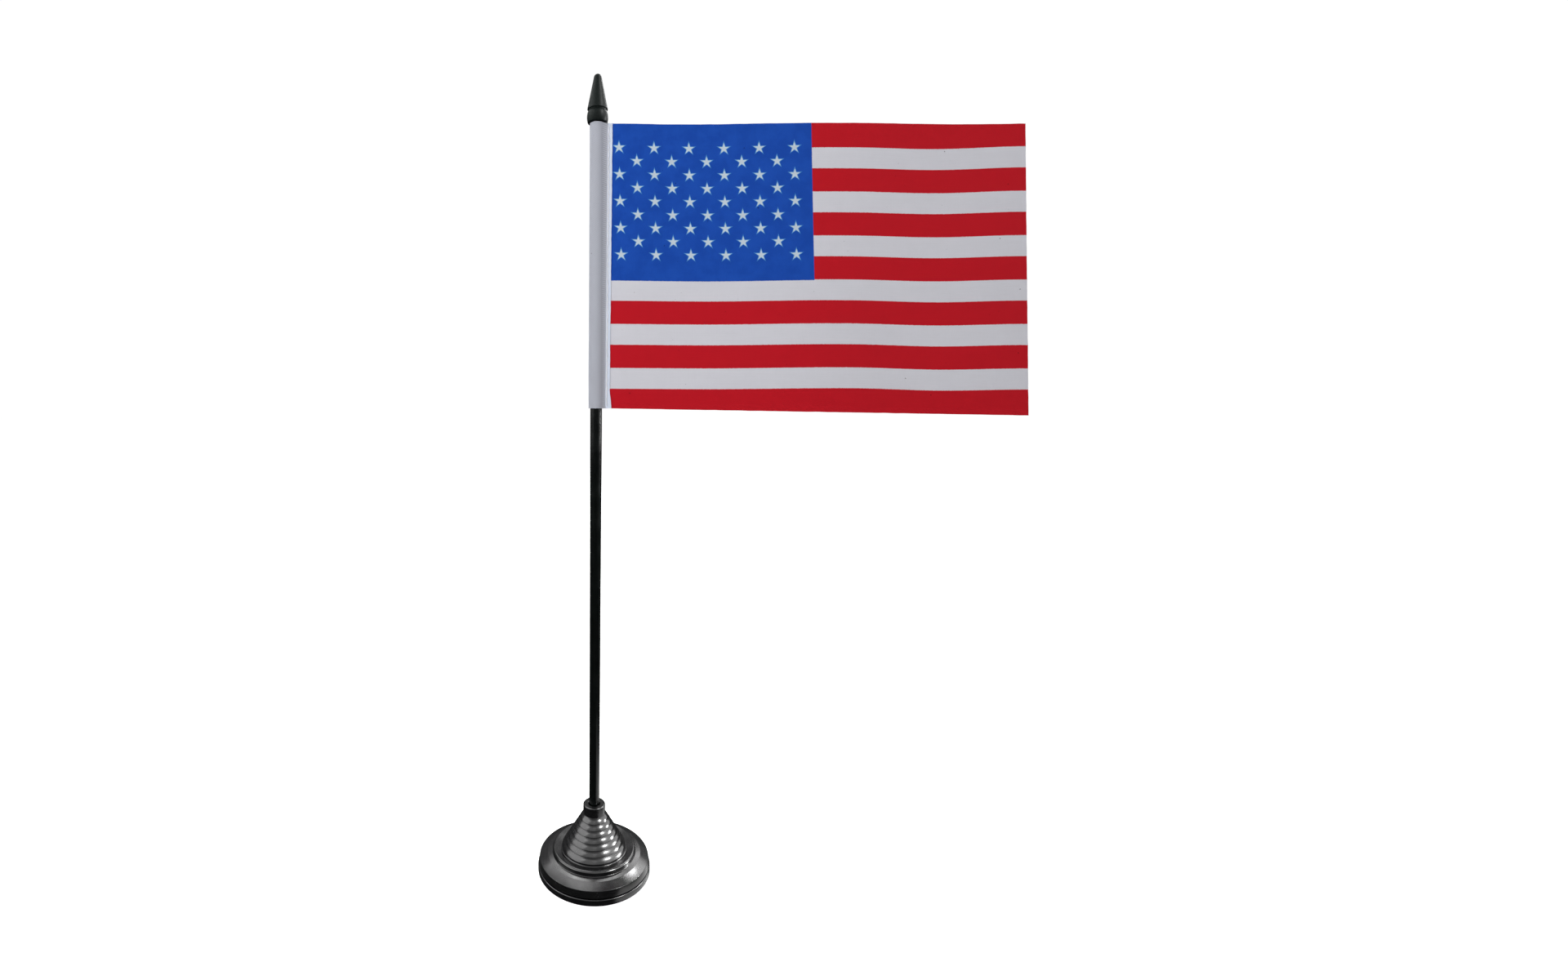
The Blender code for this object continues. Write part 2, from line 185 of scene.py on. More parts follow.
# ---- Flag: the print, measured from the staff's axis and down from the upper edge
PRINT_START = 0.0044
PRINT_SHEAR = 0.025                # the print leans this much towards the fly per unit of drop
STRIPE_START = 0.00035
STRIPE_PITCH = 0.0155              # one red and one white stripe
STRIPE_PAIRS = 6                   # below them comes one more red stripe
RED_WIDTH = 0.0082
CANTON_REACH = 0.0753
CANTON_DROP = 0.0553
STAR_RADIUS = 0.00188
STAR_FIRST_X = 0.0074
STAR_FIRST_DROP = 0.00836
STAR_PITCH_X = 0.01236
STAR_PITCH_DROP = 0.00472
UV_UNIT = 0.1                      # metres of cloth for each unit of the UV map
SEAM_ALONG = -0.0140               # the front seam along the cloth; the flap lies before it
SLEEVE_END = 0.0024                # and the sleeve ends here

# How far the print rides up along the flag: (distance from the staff, rise)
PRINT_RISE = [(0.0, 0.0), (0.035, 0.0), (0.090, 0.00062), (0.1235, -0.00013), (0.153, 0.00032)]
FLY_STRETCH = 0.0016               # how much more it rides up in the upper corner of the fly
FLY_STRETCH_START = 0.085

# ---- Flag: colours, and the rib of the weave in millimetres
CLOTH_WHITE = (0.80, 0.795, 0.855)
# painted shade: the sleeve's grey stands for the cloth darkened where it wraps the black staff
SLEEVE_PAINTED_SHADE = (0.52, 0.535, 0.60)
HEM_WHITE = (0.80, 0.86, 1.0)
INK_RED = (0.630, 0.0120, 0.0230)
INK_BLUE = (0.0160, 0.0940, 0.530)
INK_BLUE_DEEP = (0.0125, 0.078, 0.470)
STAR_HALO = (0.110, 0.400, 0.760)
STAR_WHITE = (0.66, 0.76, 0.86)
REVERSE_FADE = 0.09                # the print is this much paler on the back
RIB_LEAN = 1.45
RIB_PITCH = 0.70
# painted shading of the weave's rib in the colour, on plain cloth and on the print
RIB_SHADING_ON_PLAIN = 0.22
RIB_SHADING_ON_PRINT = 0.012
CROSS_LEAN = 0.3
CROSS_PITCH = 0.34
WEAVE_RELIEF = 0.000012             # metres

# ---- Seam threads
STITCH_LENGTH = 0.00282
STITCH_SLANT = 0.00011
STITCH_SINK = 0.00016
STITCH_FULLNESS = 0.35             # how soon a stitch rises out of its hole
STITCH_LENGTH_STRAY = 0.00012
SEAM_STRAY = 0.00007
PLY_RADIUS = 0.00012
PLY_PITCH = 0.0009
PLY_SIDES = 7
THREAD_STEP = 0.00012

# ---- Mesh fineness of the turned pieces
FOOT_SEGMENTS = 192
FINIAL_SEGMENTS = 112
POLE_SEGMENTS = 72
ROUNDING_STEPS = 6
TIP_STEPS = 14
BARREL_STEPS = 28
SHARP_ANGLE = math.radians(40)
MERGE_DISTANCE = 0.000005

# ---- Heights and radii that follow, as in the CAD
SKIRT_BOTTOM_Z = PLATE_RIM_HEIGHT + SEAT_GAP
SKIRT_FOOT_RADIUS = PLATE_RADIUS - SKIRT_INSET
SKIRT_INNER_RADIUS = SKIRT_FOOT_RADIUS - SKIRT_WALL
BEVEL_FOOT_RADIUS = SKIRT_FOOT_RADIUS - SKIRT_DRAFT
BEVEL_FOOT_Z = SKIRT_BOTTOM_Z + SKIRT_HEIGHT
BEVEL_HEAD_RADIUS = BEVEL_FOOT_RADIUS - BEVEL_WIDTH
LEDGE_Z = BEVEL_FOOT_Z + BEVEL_RISE
BEVEL_RISE_AT_SKIRT = BEVEL_RISE * (BEVEL_FOOT_RADIUS - SKIRT_INNER_RADIUS) / BEVEL_WIDTH
SKIRT_ROOF_Z = BEVEL_FOOT_Z + BEVEL_RISE_AT_SKIRT - SHELL_WALL
BEAD_OUTER_RADIUS = BEVEL_HEAD_RADIUS - LEDGE_WIDTH
DISH_Z = LEDGE_Z + BEAD_RISE - BEAD_DISH
DISH_SLOPE = BEAD_DISH / (BEAD_WIDTH - BEAD_EDGE_RADIUS)
CONE_FOOT_RADIUS = BEAD_OUTER_RADIUS - BEAD_WIDTH
CONE_FOOT_Z = DISH_Z + LOWEST_RING_RISE
CONE_HEIGHT = (CONE_FOOT_RADIUS - CONE_TOP_RADIUS) / CONE_SLOPE
CONE_TOP_Z = CONE_FOOT_Z + CONE_HEIGHT
COLLAR_TOP_Z = CONE_TOP_Z + COLLAR_HEIGHT
POLE_FOOT_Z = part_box("pole")[0].z
POLE_GROWTH = (POLE_HEAD_RADIUS - POLE_FOOT_RADIUS) / POLE_LENGTH
BOSS_BOTTOM_Z = PLATE_FLOOR + SEAT_GAP
SOCKET_FLOOR_Z = BOSS_BOTTOM_Z + SOCKET_FLOOR_WALL
SOCKET_RADIUS = POLE_FOOT_RADIUS + POLE_GROWTH * (COLLAR_TOP_Z - POLE_FOOT_Z) + SOCKET_CLEARANCE
BOSS_RADIUS = SOCKET_RADIUS + BOSS_WALL
COLLAR_RADIUS = SOCKET_RADIUS + COLLAR_WALL
FINIAL_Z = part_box("finial")[0].z
FLAG_TOP_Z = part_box("flag_cloth")[1].z
FLAG_BOTTOM_Z = FLAG_TOP_Z - HOIST_HEIGHT
STITCH_COUNT = int(HOIST_HEIGHT / STITCH_LENGTH)
STITCH_MARGIN = 0.5 * (HOIST_HEIGHT - STITCH_COUNT * STITCH_LENGTH)
LOOP_RADIUS = POLE_HEAD_RADIUS + SLEEVE_CLEARANCE + 0.5 * FABRIC_THICKNESS
HALF_FOLD = 0.5 * (FABRIC_THICKNESS + FOLD_GAP)


# ------------------------------------------------------------------ turned pieces

def arc(centre, radius, start_degrees, end_degrees, steps):
    """Points on an arc in the profile plane; angles run from outward (0) to upward (90)."""
    points = []
    for step in range(steps + 1):
        angle = math.radians(start_degrees + (end_degrees - start_degrees) * step / steps)
        points.append((centre[0] + radius * math.cos(angle), centre[1] + radius * math.sin(angle)))
    return points


def rounded(corners):
    """The outline through (radius, height, rounding) corners, with an arc for each rounding."""
    points = []
    for index, (radius, height, rounding) in enumerate(corners):
        here = Vector((radius, height))
        if rounding == 0.0:
            points.append(tuple(here))
            continue
        before = Vector(corners[index - 1][:2]) - here
        after = Vector(corners[index + 1][:2]) - here
        half = 0.5 * before.angle(after)
        reach = min(rounding / math.tan(half), 0.49 * min(before.length, after.length))
        bisector = (before.normalized() + after.normalized()).normalized()
        centre = here + bisector * (reach / math.cos(half))
        start = here + before.normalized() * reach - centre
        end = here + after.normalized() * reach - centre
        arc_radius = start.length
        for step in range(ROUNDING_STEPS + 1):
            spoke = start.normalized().slerp(end.normalized(), step / ROUNDING_STEPS)
            points.append(tuple(centre + arc_radius * spoke))
    return points


def turned_piece(name, outline, segments, height):
    """Turn an outline of (radius, height) points, top to bottom, about the Z axis."""
    mesh = bpy.data.meshes.new(name)
    edges = [(index, index + 1) for index in range(len(outline) - 1)]
    mesh.from_pydata([(radius, 0.0, z + height) for radius, z in outline], edges, [])
    piece = bpy.data.objects.new(name, mesh)
    bpy.context.scene.collection.objects.link(piece)
    screw = piece.modifiers.new("turn", "SCREW")
    screw.axis = "Z"
    screw.angle = math.tau
    screw.steps = segments
    screw.render_steps = segments
    screw.use_merge_vertices = True
    screw.merge_threshold = MERGE_DISTANCE
    apply_modifiers(piece)
    return piece


def apply_modifiers(piece):
    """Swap the piece's mesh for its evaluated one and shade it smooth up to the sharp angle."""
    bpy.context.view_layer.update()
    depsgraph = bpy.context.evaluated_depsgraph_get()
    mesh = bpy.data.meshes.new_from_object(piece.evaluated_get(depsgraph))
    piece.modifiers.clear()
    piece.data = mesh
    mesh.shade_smooth()
    mesh.set_sharp_from_angle(angle=SHARP_ANGLE)


def ring_corners():
    """The cone's rings from the collar down: each swells out and ends in a rounded lip."""
    slant = math.hypot(CONE_SLOPE, 1.0)
    normal = (1.0 / slant, CONE_SLOPE / slant)
    corners = []
    for ring in range(RING_COUNT):
        for step in range(RING_STEPS + 1):
            share = step / RING_STEPS
            run = (ring + share) / RING_COUNT
            out = RING_LIP * share + RING_BULGE * math.sin(math.pi * share)
            radius = CONE_TOP_RADIUS + run * CONE_HEIGHT * CONE_SLOPE + out * normal[0]
            rounding = RING_LIP_ROUNDING if step == RING_STEPS else 0.0
            corners.append((radius, CONE_TOP_Z - run * CONE_HEIGHT + out * normal[1], rounding))
    return corners


def make_base_shell():
    """The moulded shell: collar and socket, ringed cone, bead, ledge, bevel and skirt."""
    corners = [(0.0, SOCKET_FLOOR_Z, 0.0), (SOCKET_RADIUS, SOCKET_FLOOR_Z, 0.0)]
    corners += [(SOCKET_RADIUS, COLLAR_TOP_Z, 0.5 * COLLAR_EDGE_RADIUS)]
    corners += [(COLLAR_RADIUS, COLLAR_TOP_Z, COLLAR_EDGE_RADIUS), (COLLAR_RADIUS, CONE_TOP_Z, 0.0)]
    corners += ring_corners()
    corners += [(CONE_FOOT_RADIUS, DISH_Z, BEAD_FILLET)]
    corners += [(BEAD_OUTER_RADIUS, DISH_Z + BEAD_WIDTH * DISH_SLOPE, BEAD_EDGE_RADIUS)]
    corners += [(BEAD_OUTER_RADIUS, LEDGE_Z + LEDGE_FALL, LEDGE_FILLET)]
    corners += [(BEVEL_HEAD_RADIUS, LEDGE_Z, BEVEL_EDGE_RADIUS)]
    corners += [(BEVEL_FOOT_RADIUS, BEVEL_FOOT_Z, BEVEL_EDGE_RADIUS)]
    corners += [(SKIRT_FOOT_RADIUS, SKIRT_BOTTOM_Z, BEVEL_EDGE_RADIUS)]
    corners += [(SKIRT_INNER_RADIUS, SKIRT_BOTTOM_Z, 0.0)]

    # Inside, one wall below the outer steps, then down the boss that holds the socket.
    wall_along_radius = SHELL_WALL * math.hypot(CONE_SLOPE, 1.0)
    roof_z = LEDGE_Z - SHELL_WALL
    bead_roof_z = DISH_Z - SHELL_WALL
    cone_foot = CONE_FOOT_RADIUS - wall_along_radius + CONE_SLOPE * (CONE_FOOT_Z - bead_roof_z)
    boss_meet_z = bead_roof_z + (cone_foot - BOSS_RADIUS) / CONE_SLOPE
    inside = [(SKIRT_INNER_RADIUS, SKIRT_ROOF_Z), (BEVEL_HEAD_RADIUS, roof_z)]
    inside += [(BEAD_OUTER_RADIUS - SHELL_WALL, roof_z), (BEAD_OUTER_RADIUS - SHELL_WALL, bead_roof_z)]
    inside += [(cone_foot, bead_roof_z), (BOSS_RADIUS, boss_meet_z), (BOSS_RADIUS, BOSS_BOTTOM_Z)]
    inside += [(0.0, BOSS_BOTTOM_Z)]
    return turned_piece("stepped_foot", rounded(corners) + inside, FOOT_SEGMENTS, 0.0)


def make_base_plate():
    """The bottom cover: a flat floor, a rim below the skirt and a spigot inside it."""
    spigot_outer = SKIRT_INNER_RADIUS - SEAT_GAP
    spigot_inner = spigot_outer - SPIGOT_WALL
    spigot_top = SKIRT_ROOF_Z - SEAT_GAP
    corners = [(0.0, PLATE_FLOOR, 0.0), (spigot_inner, PLATE_FLOOR, 0.0)]
    corners += [(spigot_inner, spigot_top, 0.0), (spigot_outer, spigot_top, 0.0)]
    corners += [(spigot_outer, PLATE_RIM_HEIGHT, 0.0)]
    corners += [(PLATE_RADIUS, PLATE_RIM_HEIGHT, PLATE_EDGE_RADIUS)]
    corners += [(PLATE_RADIUS, 0.0, PLATE_EDGE_RADIUS), (0.0, 0.0, 0.0)]
    return turned_piece("foot_cover", rounded(corners), FOOT_SEGMENTS, 0.0)


def make_pole():
    """The moulded staff, a little thicker at its head, with rounded ends."""
    corners = [(0.0, POLE_LENGTH, 0.0), (POLE_HEAD_RADIUS, POLE_LENGTH, POLE_EDGE_RADIUS)]
    corners += [(POLE_FOOT_RADIUS, 0.0, POLE_EDGE_RADIUS), (0.0, 0.0, 0.0)]
    return turned_piece("staff_rod", rounded(corners), POLE_SEGMENTS, POLE_FOOT_Z)


def make_finial():
    """The push-on spear: a socket in a swelling barrel, a groove, a shoulder and a round tip."""
    bore = POLE_HEAD_RADIUS + FINIAL_CLEARANCE
    shoulder_z = BARREL_HEIGHT + GROOVE_HEIGHT + SHOULDER_EDGE_RADIUS
    tip_z = BARREL_HEIGHT + GROOVE_HEIGHT + SPEAR_LENGTH - TIP_RADIUS
    lean = math.degrees(math.atan2(SHOULDER_RADIUS - TIP_RADIUS, tip_z - shoulder_z))
    shoulder = (SHOULDER_RADIUS - SHOULDER_EDGE_RADIUS, shoulder_z)
    outline = arc((0.0, tip_z), TIP_RADIUS, 90, lean, TIP_STEPS)
    outline += arc(shoulder, SHOULDER_EDGE_RADIUS, lean, SHOULDER_UNDERCUT, TIP_STEPS)
    outline += [(SHOULDER_RADIUS - GROOVE_DEPTH, BARREL_HEIGHT + GROOVE_FLOOR)]
    for step in range(BARREL_STEPS + 1):
        share = 0.5 + 0.5 * math.cos(math.pi * step / BARREL_STEPS)
        swell = max(0.0, math.sin(math.pi * share)) ** BARREL_FULLNESS
        outline.append((BARREL_RADIUS - BARREL_BULGE * (1.0 - swell), BARREL_HEIGHT * share))
    outline += [(bore, 0.0), (bore, FINIAL_SOCKET_DEPTH), (0.0, FINIAL_SOCKET_DEPTH)]
    return turned_piece("spear_tip", outline, FINIAL_SEGMENTS, FINIAL_Z)


# ------------------------------------------------------------------ the flag

def ease(share):
    """0 to 1 with level ends."""
    share = min(1.0, max(0.0, share))
    return share * share * (3.0 - 2.0 * share)


def print_rise(reach, down):
    """How far the print rides up at a distance from the staff and a share of the hoist."""
    spread = (reach - FLY_STRETCH_START) / (FLY_REACH_BOTTOM - FLY_STRETCH_START)
    stretch = FLY_STRETCH * ease(spread) * (1.0 - down)
    for (start, low), (end, high) in zip(PRINT_RISE, PRINT_RISE[1:]):
        if reach <= end:
            return stretch + low + (high - low) * ease((reach - start) / (end - start))
    return stretch + PRINT_RISE[-1][1]


def wander(amount, *place):
    """A smooth, repeatable stray of up to about the given amount; the last number tells strays apart."""
    return amount * noise.noise(Vector(place).to_3d())


def seam_dimple(drop):
    """1 at each needle hole and 0 between them."""
    phase = (drop - STITCH_MARGIN) / STITCH_LENGTH
    return max(0.0, 1.0 - abs(phase - round(phase)) / DIMPLE_SHARE)


def seam_reach(down):
    """From the staff's axis to the row of stitches, at a share of the hoist from the top."""
    return SEAM_REACH_TOP + (SEAM_REACH_BOTTOM - SEAM_REACH_TOP) * down


def field_wave(reach, drop):
    """How far the field swings back (+) or forward (-) of its flat plane."""
    share = (reach - SEAM_REACH_TOP) / (FLY_REACH_BOTTOM - SEAM_REACH_TOP)
    swing = math.sin(math.tau * WAVE_COUNT * share + WAVE_SLANT * drop) * share * WAVE_DEPTH
    ripple = wander(RIPPLE_DEPTH, reach * RIPPLE_ACROSS, drop * RIPPLE_DOWN, 1.7) * ease(share * 8.0)
    curl_reach = max(0.0, reach - FLY_CURL_START) / (FLY_REACH_BOTTOM - FLY_CURL_START)
    forward = SEAM_FORWARD * ease(1.0 - (reach - SEAM_REACH_TOP) / SEAM_SETTLE)
    return swing + ripple + FLY_CURL * curl_reach ** 2 - forward


def sheet_columns():
    """(zone, share) for each column of the sheet, from the flap's raw edge round to the fly."""
    columns = [("flap", step / FLAP_COLUMNS) for step in range(FLAP_COLUMNS)]
    columns += [("front seam", step / SEAM_COLUMNS) for step in range(SEAM_COLUMNS)]
    columns += [("loop", step / LOOP_COLUMNS) for step in range(LOOP_COLUMNS + 1)]
    columns += [("back seam", (step + 1) / SEAM_COLUMNS) for step in range(SEAM_COLUMNS)]
    for step in range(FIELD_COLUMNS):
        columns.append(("field", (step + 1) / FIELD_COLUMNS))
    return columns


def sheet_point(zone, share, down):
    """Place of a point of the sheet's middle layer, and its distance along the cloth."""
    drop = down * HOIST_HEIGHT
    seam = seam_reach(down)
    fork = Vector((seam - SEAM_WIDTH, -SEAM_FORWARD))
    touch = math.acos(LOOP_RADIUS / fork.length)
    turn = math.atan2(fork.y, fork.x)
    pinch = PINCH_SHARE * FOLD_GAP * seam_dimple(drop)
    top_z, bottom_z = FLAG_TOP_Z, FLAG_BOTTOM_Z
    if zone == "flap":
        width = FLAP_WIDTH_TOP + (FLAP_WIDTH_BOTTOM - FLAP_WIDTH_TOP) * down
        width += FLAP_FLARE * ease(1.0 - (HOIST_HEIGHT - drop) / FLAP_FLARE_HEIGHT)
        width += wander(FRAY_COARSE, drop * 900.0, 4.2) + wander(FRAY_FINE, drop * 260.0, 8.1)
        x = seam + width * (1.0 - share)
        y = -SEAM_FORWARD - HALF_FOLD - FLAP_LIFT * (1.0 - share) ** 2 + pinch * share
        along = SEAM_ALONG - (x - seam)
    elif zone == "front seam":
        x = seam - SEAM_WIDTH * share
        y = -SEAM_FORWARD - HALF_FOLD + pinch * (1.0 - share)
        along = SEAM_ALONG + SEAM_WIDTH * share
    elif zone == "loop":
        angle = turn - touch - (math.tau - 2.0 * touch) * share
        slack = 0.5 - 0.5 * math.cos(math.tau * share)
        stray = wander(LOOP_WANDER, share * 7.0, drop * 60.0, 2.5)
        radius = LOOP_RADIUS + slack * (LOOP_SLACK + stray)
        x, y = radius * math.cos(angle), radius * math.sin(angle)
        along = SEAM_ALONG + SEAM_WIDTH + (seam - 2.0 * SEAM_WIDTH - SEAM_ALONG) * share
    elif zone == "back seam":
        x = seam - SEAM_WIDTH * (1.0 - share)
        y = -SEAM_FORWARD + HALF_FOLD - pinch * share
        along = x
    else:
        fly = FLY_REACH_TOP + (FLY_REACH_BOTTOM - FLY_REACH_TOP) * down
        fly += wander(EDGE_WANDER, drop * 300.0, 6.6)
        x = seam + (fly - seam) * share
        y = HALF_FOLD - pinch * max(0.0, 1.0 - share * 40.0) + field_wave(x, drop)
        along = x
        spread = max(0.0, share - 0.01)
        top_z += FLY_RISE * spread + wander(EDGE_WANDER, x * 250.0, 3.3)
        bottom_z -= FLY_DROP * spread + wander(EDGE_WANDER, x * 250.0, 9.9)
    z = top_z + (bottom_z - top_z) * down
    return Vector((x, y, z)), along


def make_flag():
    """One sheet, folded round the staff, with a UV map that lies flat on the uncut cloth."""
    columns = sheet_columns()
    points, coordinates = [], []
    for row in range(SHEET_ROWS + 1):
        down = row / SHEET_ROWS
        for zone, share in columns:
            place, along = sheet_point(zone, share, down)
            drop = FLAG_TOP_Z - place.z
            printed = max(0.0, along)
            leant = along - PRINT_SHEAR * drop
            points.append(place)
            coordinates.append((leant / UV_UNIT, (drop + print_rise(printed, down)) / UV_UNIT))
    faces = []
    width = len(columns)
    for row in range(SHEET_ROWS):
        for column in range(width - 1):
            corner = row * width + column
            faces.append((corner, corner + width, corner + width + 1, corner + 1))
    mesh = bpy.data.meshes.new("printed_flag")
    mesh.from_pydata(points, [], faces)
    layer = mesh.uv_layers.new(name="print")
    for loop in mesh.loops:
        layer.data[loop.index].uv = coordinates[loop.vertex_index]
    piece = bpy.data.objects.new("printed_flag", mesh)
    bpy.context.scene.collection.objects.link(piece)
    piece.data.materials.append(printed_cloth("flag_front", fade=0.0))
    piece.data.materials.append(printed_cloth("flag_reverse", fade=REVERSE_FADE))
    solidify = piece.modifiers.new("thickness", "SOLIDIFY")
    solidify.thickness = FABRIC_THICKNESS
    solidify.offset = 0.0
    solidify.use_even_offset = True
    solidify.material_offset = 1
    apply_modifiers(piece)
    return piece


def thread_path(side):
    """Middle line of one seam thread: along each stitch on the cloth, then down into the hole."""
    surface = 0.5 * FOLD_GAP + FABRIC_THICKNESS
    lying = surface + 2.0 * PLY_RADIUS
    count = int(STITCH_LENGTH / THREAD_STEP)
    path = []
    for stitch in range(STITCH_COUNT):
        length_stray = wander(STITCH_LENGTH_STRAY, stitch * 3.7, 5.5)
        for step in range(count):
            share = step / count
            cover = math.sin(math.pi * share) ** STITCH_FULLNESS if share > 0.0 else 0.0
            lift = surface - STITCH_SINK + (lying - surface + STITCH_SINK) * cover
            slant = STITCH_SLANT * -math.cos(math.pi * share) * (1.0 + stitch % 3 * 0.25)
            drop = STITCH_MARGIN + (stitch + share) * STITCH_LENGTH + length_stray * cover
            x = seam_reach(drop / HOIST_HEIGHT) + slant + wander(SEAM_STRAY, drop * 120.0, 7.7)
            path.append(Vector((x, side * lift - SEAM_FORWARD, FLAG_TOP_Z - drop)))
    return path


def make_thread(name, side):
    """A two-ply twisted thread that follows the seam's stitches."""
    path = thread_path(side)
    points, faces = [], []
    for ply in range(2):
        first = len(points)
        run = 0.0
        for index, centre in enumerate(path):
            ahead = path[min(index + 1, len(path) - 1)] - path[max(index - 1, 0)]
            tangent = ahead.normalized()
            across = tangent.cross(Vector((0.0, 1.0, 0.0))).normalized()
            outward = across.cross(tangent)
            turn = math.tau * run / PLY_PITCH + math.pi * ply
            heart = centre + PLY_RADIUS * (across * math.cos(turn) + outward * math.sin(turn))
            for side_index in range(PLY_SIDES):
                angle = math.tau * side_index / PLY_SIDES
                spoke = across * math.cos(angle) + outward * math.sin(angle)
                points.append(heart + PLY_RADIUS * spoke)
            if index:
                run += (centre - path[index - 1]).length
        for index in range(len(path) - 1):
            for side_index in range(PLY_SIDES):
                a = first + index * PLY_SIDES + side_index
                b = first + index * PLY_SIDES + (side_index + 1) % PLY_SIDES
                faces.append((a, b, b + PLY_SIDES, a + PLY_SIDES))
        last = first + (len(path) - 1) * PLY_SIDES
        faces.append(tuple(first + side_index for side_index in reversed(range(PLY_SIDES))))
        faces.append(tuple(last + side_index for side_index in range(PLY_SIDES)))
    mesh = bpy.data.meshes.new(name)
    mesh.from_pydata(points, [], faces)
    mesh.shade_smooth()
    piece = bpy.data.objects.new(name, mesh)
    bpy.context.scene.collection.objects.link(piece)
    return piece


# ------------------------------------------------------------------ materials

class Graph:
    """A material's nodes; a socket given as a value is linked, and a number or colour is set."""

    def __init__(self, name):
        self.material = bpy.data.materials.new(name)
        self.material.use_nodes = True
        self.tree = self.material.node_tree
        self.shader = self.tree.nodes["Principled BSDF"]

    def put(self, socket, value):
        if isinstance(value, bpy.types.NodeSocket):
            self.tree.links.new(value, socket)
        elif isinstance(value, tuple) and len(value) == 3 and socket.type == "RGBA":
            socket.default_value = (*value, 1.0)
        else:
            socket.default_value = value

    def set(self, **sockets):
        for name, value in sockets.items():
            self.put(self.shader.inputs[name.replace("_", " ")], value)

    def maths(self, operation, *values):
        node = self.tree.nodes.new("ShaderNodeMath")
        node.operation = operation
        for socket, value in zip(node.inputs, values):
            self.put(socket, value)
        return node.outputs[0]

    def plus(self, first, second):
        return self.maths("ADD", first, second)

    def minus(self, first, second):
        return self.maths("SUBTRACT", first, second)

    def times(self, first, second):
        return self.maths("MULTIPLY", first, second)

    def clamped(self, value, low, high):
        return self.maths("MINIMUM", self.maths("MAXIMUM", value, low), high)

    def length(self, x, y):
        return self.maths("SQRT", self.plus(self.times(x, x), self.times(y, y)))

    def around_zero(self, value, pitch):
        """The value less the nearest whole number of pitches: from -pitch / 2 to pitch / 2."""
        shifted = self.plus(value, 0.5 * pitch)
        return self.minus(self.maths("FLOORED_MODULO", shifted, pitch), 0.5 * pitch)

    def object_place(self):
        return self.tree.nodes.new("ShaderNodeTexCoord").outputs["Object"]

    def scaled(self, vector, factors):
        node = self.tree.nodes.new("ShaderNodeVectorMath")
        node.operation = "MULTIPLY"
        self.put(node.inputs[0], vector)
        node.inputs[1].default_value = factors
        return node.outputs[0]

    def combined(self, x, y, z):
        node = self.tree.nodes.new("ShaderNodeCombineXYZ")
        for socket, value in zip(node.inputs, (x, y, z)):
            self.put(socket, value)
        return node.outputs[0]

    def split(self, vector):
        node = self.tree.nodes.new("ShaderNodeSeparateXYZ")
        self.put(node.inputs[0], vector)
        return node.outputs

    def noise(self, vector, scale, detail=2.0, roughness=0.5):
        node = self.tree.nodes.new("ShaderNodeTexNoise")
        self.put(node.inputs["Vector"], vector)
        node.inputs["Scale"].default_value = scale
        node.inputs["Detail"].default_value = detail
        node.inputs["Roughness"].default_value = roughness
        return node.outputs[0]

    def step(self, value, low, high, start=0.0, end=1.0):
        """A smooth ramp from start to end as the value goes from low to high."""
        node = self.tree.nodes.new("ShaderNodeMapRange")
        node.interpolation_type = "SMOOTHSTEP"
        for socket, number in zip(node.inputs, (value, low, high, start, end)):
            self.put(socket, number)
        return node.outputs[0]

    def mix(self, factor, first, second, blend="MIX"):
        node = self.tree.nodes.new("ShaderNodeMix")
        node.data_type = "RGBA"
        node.blend_type = blend
        self.put(node.inputs[0], factor)
        self.put(node.inputs[6], first)
        self.put(node.inputs[7], second)
        return node.outputs[2]

    def bump(self, height, distance):
        node = self.tree.nodes.new("ShaderNodeBump")
        node.inputs["Strength"].default_value = 1.0
        node.inputs["Distance"].default_value = distance
        self.put(node.inputs["Height"], height)
        return node.outputs[0]


def moulded_plastic(name, colour, dusted, gloss, dull, grain_depth, specular):
    """Injection-moulded plastic: faint orange peel, turned polish lines, haze and specks of dust."""
    graph = Graph(name)
    place = graph.object_place()
    x, y, z = graph.split(place)
    angle = graph.times(graph.maths("ARCTAN2", y, x), 0.0006)
    haze = graph.noise(place, 240.0, 4.0, 0.6)
    peel = graph.noise(place, 2600.0, 2.0)
    lines = graph.noise(graph.combined(graph.length(x, y), angle, z), 5200.0, 2.0, 0.7)
    specks = graph.step(graph.noise(place, 5200.0, 1.0), 0.70, 0.78)
    worn = graph.step(haze, 0.42, 0.68)
    roughness = graph.plus(graph.step(haze, 0.3, 0.7, gloss, dull), graph.times(lines, 0.05))
    height = graph.plus(peel, graph.times(lines, 0.35))
    tone = graph.mix(graph.times(worn, 0.35), colour, dusted)
    tone = graph.mix(graph.times(specks, 0.30), tone, tuple(4.0 * part for part in dusted))
    graph.set(Base_Color=tone, Roughness=roughness, Normal=graph.bump(height, grain_depth))
    graph.set(IOR=1.5, Specular_IOR_Level=specular)
    return graph.material


def plated_steel(name):
    """The hidden weight: dull zinc plating."""
    graph = Graph(name)
    place = graph.object_place()
    spangle = graph.noise(place, 900.0, 3.0)
    tone = graph.mix(graph.step(spangle, 0.3, 0.7), (0.30, 0.31, 0.33), (0.46, 0.47, 0.49))
    graph.set(Base_Color=tone, Roughness=graph.step(spangle, 0.3, 0.7, 0.32, 0.5), Metallic=1.0)
    graph.set(Normal=graph.bump(spangle, 0.00001))
    return graph.material


